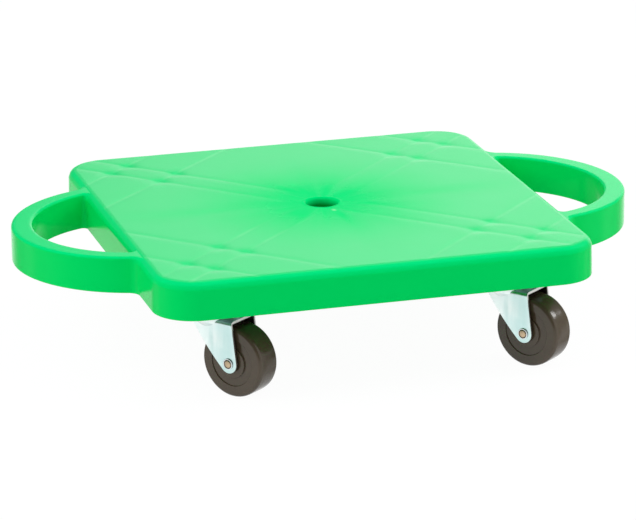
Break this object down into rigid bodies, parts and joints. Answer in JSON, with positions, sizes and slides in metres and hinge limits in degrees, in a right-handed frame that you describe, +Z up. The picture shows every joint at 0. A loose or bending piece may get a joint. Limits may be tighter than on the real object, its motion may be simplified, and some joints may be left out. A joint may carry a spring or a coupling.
{
  "type": "scooter board",
  "caption": "Low square ride-on board with a bow handle on each side, rolling on swivel casters.",
  "frame": {"origin": "on the floor under the middle of the deck", "axes": "+X to the right handle, +Y to the back, +Z up through the deck"},
  "size_m": [0.4368, 0.3048, 0.0914],
  "materials": {
    "green_plastic": "semi-gloss injection moulding",
    "zinc_plate": "bright zinc-plated pressed steel",
    "wheel_moulding": "dark brown-grey semi-gloss moulding",
    "rivet": "dull yellow rivet end",
    "steel_ball": "polished, greased",
    "nylon": "plain moulded nylon"
  },
  "bodies": {
    "board": {"deck": "green_plastic", "front_left_mount_plate": "zinc_plate", "front_left_screw_1": "zinc_plate", "front_left_screw_2": "zinc_plate", "front_left_screw_3": "zinc_plate", "front_left_screw_4": "zinc_plate", "front_left_king_pin": "zinc_plate", "front_left_lower_race": "zinc_plate", "front_right_mount_plate": "zinc_plate", "front_right_screw_1": "zinc_plate", "front_right_screw_2": "zinc_plate", "front_right_screw_3": "zinc_plate", "front_right_screw_4": "zinc_plate", "front_right_king_pin": "zinc_plate", "front_right_lower_race": "zinc_plate", "rear_left_mount_plate": "zinc_plate", "rear_left_screw_1": "zinc_plate", "rear_left_screw_2": "zinc_plate", "rear_left_screw_3": "zinc_plate", "rear_left_screw_4": "zinc_plate", "rear_left_king_pin": "zinc_plate", "rear_left_lower_race": "zinc_plate", "rear_right_mount_plate": "zinc_plate", "rear_right_screw_1": "zinc_plate", "rear_right_screw_2": "zinc_plate", "rear_right_screw_3": "zinc_plate", "rear_right_screw_4": "zinc_plate", "rear_right_king_pin": "zinc_plate", "rear_right_lower_race": "zinc_plate"},
    "front_left_swivel": {"front_left_fork": "zinc_plate", "front_left_upper_balls": "steel_ball", "front_left_lower_balls": "steel_ball", "front_left_axle": "rivet"},
    "front_left_wheel": {"front_left_wheel": "wheel_moulding", "front_left_bushing": "nylon"},
    "front_right_swivel": {"front_right_fork": "zinc_plate", "front_right_upper_balls": "steel_ball", "front_right_lower_balls": "steel_ball", "front_right_axle": "rivet"},
    "front_right_wheel": {"front_right_wheel": "wheel_moulding", "front_right_bushing": "nylon"},
    "rear_left_swivel": {"rear_left_fork": "zinc_plate", "rear_left_upper_balls": "steel_ball", "rear_left_lower_balls": "steel_ball", "rear_left_axle": "rivet"},
    "rear_left_wheel": {"rear_left_wheel": "wheel_moulding", "rear_left_bushing": "nylon"},
    "rear_right_swivel": {"rear_right_fork": "zinc_plate", "rear_right_upper_balls": "steel_ball", "rear_right_lower_balls": "steel_ball", "rear_right_axle": "rivet"},
    "rear_right_wheel": {"rear_right_wheel": "wheel_moulding", "rear_right_bushing": "nylon"}
  },
  "joints": [
    {"name": "front_left_swivel_turn", "type": "hinge", "parent": "board", "child": "front_left_swivel", "pos_m": [-0.1032, -0.1032, 0.0539], "axis": [0, 0, 1], "continuous": true},
    {"name": "front_left_wheel_spin", "type": "hinge", "parent": "front_left_swivel", "child": "front_left_wheel", "pos_m": [-0.09152, -0.11793, 0.0245], "axis": [0.7837, 0.6211, 0], "continuous": true},
    {"name": "front_right_swivel_turn", "type": "hinge", "parent": "board", "child": "front_right_swivel", "pos_m": [0.1032, -0.1032, 0.0539], "axis": [0, 0, 1], "continuous": true},
    {"name": "front_right_wheel_spin", "type": "hinge", "parent": "front_right_swivel", "child": "front_right_wheel", "pos_m": [0.11488, -0.11793, 0.0245], "axis": [0.7837, 0.6211, 0], "continuous": true},
    {"name": "rear_left_swivel_turn", "type": "hinge", "parent": "board", "child": "rear_left_swivel", "pos_m": [-0.1032, 0.1032, 0.0539], "axis": [0, 0, 1], "continuous": true},
    {"name": "rear_left_wheel_spin", "type": "hinge", "parent": "rear_left_swivel", "child": "rear_left_wheel", "pos_m": [-0.09152, 0.08847, 0.0245], "axis": [0.7837, 0.6211, 0], "continuous": true},
    {"name": "rear_right_swivel_turn", "type": "hinge", "parent": "board", "child": "rear_right_swivel", "pos_m": [0.1032, 0.1032, 0.0539], "axis": [0, 0, 1], "continuous": true},
    {"name": "rear_right_wheel_spin", "type": "hinge", "parent": "rear_right_swivel", "child": "rear_right_wheel", "pos_m": [0.11488, 0.08847, 0.0245], "axis": [0.7837, 0.6211, 0], "continuous": true}
  ]
}
